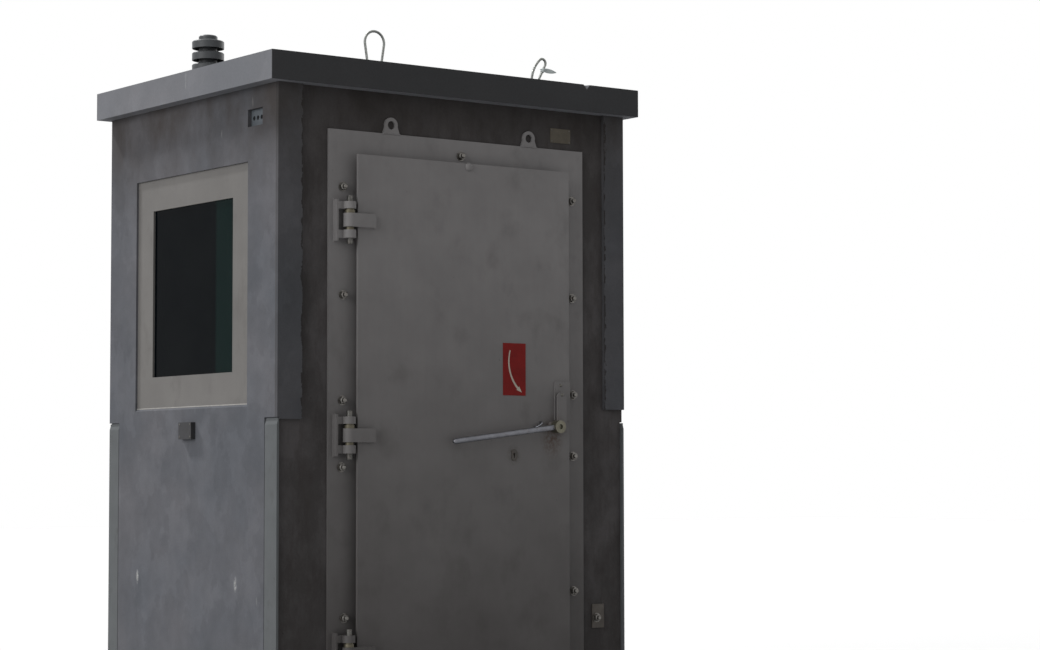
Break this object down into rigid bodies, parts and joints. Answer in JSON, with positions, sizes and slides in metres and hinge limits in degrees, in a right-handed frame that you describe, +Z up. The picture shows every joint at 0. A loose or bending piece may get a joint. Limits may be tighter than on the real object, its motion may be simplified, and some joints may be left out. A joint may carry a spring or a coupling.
{
  "type": "security guard booth",
  "caption": "Precast armoured concrete guard booth with a hinged steel door, a lever handle, thick glass side windows and a roof vent.",
  "frame": {"origin": "middle of the base, on the ground", "axes": "+Z up, the door faces -Y, and +X is to the right of someone who faces the door"},
  "size_m": [1.592, 1.321, 2.635],
  "materials": {
    "floor_slab": "cast concrete",
    "back_wall": "cast concrete",
    "left_wall": "cast concrete",
    "right_wall": "cast concrete",
    "front_left_pier": "cast concrete",
    "front_right_pier": "cast concrete",
    "front_lintel": "cast concrete",
    "front_sill": "cast concrete",
    "roof_slab": "cast concrete",
    "corner_plates": "smooth grey coat",
    "door_frame": "grey primer",
    "frame_lifting_eyes": "grey primer",
    "hinge_brackets": "grey primer",
    "hinge_pins": "bright steel",
    "hinge_washers": "dull brass",
    "door_plate": "grey primer, smudged",
    "door_core": "grey primer",
    "door_inner_case": "grey primer",
    "hinge_straps": "grey primer",
    "latch_guard": "grey primer",
    "padlock_staple": "zinc plated",
    "key_escutcheon": "dull",
    "sign_plate": "red enamel",
    "lever_hub": "yellow zinc",
    "lever_bar": "zinc plated",
    "window_frames": "warm grey paint",
    "window_linings": "warm grey paint",
    "window_glass": "thick laminated glass",
    "window_retainers": "grey paint",
    "port_cover": "dark grey",
    "cable_inlet": "galvanised",
    "earth_plate": "galvanised",
    "label_plate": "bare, yellowed",
    "vent_pipe": "grey plastic",
    "vent_cowl": "grey plastic",
    "vent_cap": "grey plastic",
    "lifting_loops": "galvanised wire rope",
    "loop_tag": "pale plastic"
  },
  "bodies": {
    "booth": {"floor_slab": "floor_slab", "back_wall": "back_wall", "left_wall": "left_wall", "right_wall": "right_wall", "front_left_pier": "front_left_pier", "front_right_pier": "front_right_pier", "front_lintel": "front_lintel", "front_sill": "front_sill", "roof_slab": "roof_slab", "corner_plates": "corner_plates", "door_frame": "door_frame", "frame_lifting_eyes": "frame_lifting_eyes", "hinge_brackets": "hinge_brackets", "hinge_pins": "hinge_pins", "hinge_washers": "hinge_washers", "window_frames": "window_frames", "window_linings": "window_linings", "window_glass": "window_glass", "window_retainers": "window_retainers", "port_cover": "port_cover", "cable_inlet": "cable_inlet", "earth_plate": "earth_plate", "label_plate": "label_plate", "vent_pipe": "vent_pipe", "vent_cowl": "vent_cowl", "vent_cap": "vent_cap", "lifting_loops": "lifting_loops", "loop_tag": "loop_tag"},
    "door": {"door_plate": "door_plate", "door_core": "door_core", "door_inner_case": "door_inner_case", "hinge_straps": "hinge_straps", "latch_guard": "latch_guard", "padlock_staple": "padlock_staple", "key_escutcheon": "key_escutcheon", "sign_plate": "sign_plate"},
    "lever": {"lever_hub": "lever_hub", "lever_bar": "lever_bar"}
  },
  "joints": [
    {"name": "door_swing", "type": "hinge", "parent": "booth", "child": "door", "pos_m": [-0.478, -0.625, 1.1], "axis": [0, 0, -1], "range_deg": [0, 120]},
    {"name": "lever_turn", "type": "hinge", "parent": "door", "child": "lever", "pos_m": [0.387, -0.67, 1.138], "axis": [0, -1, 0], "range_deg": [0, 84]}
  ]
}
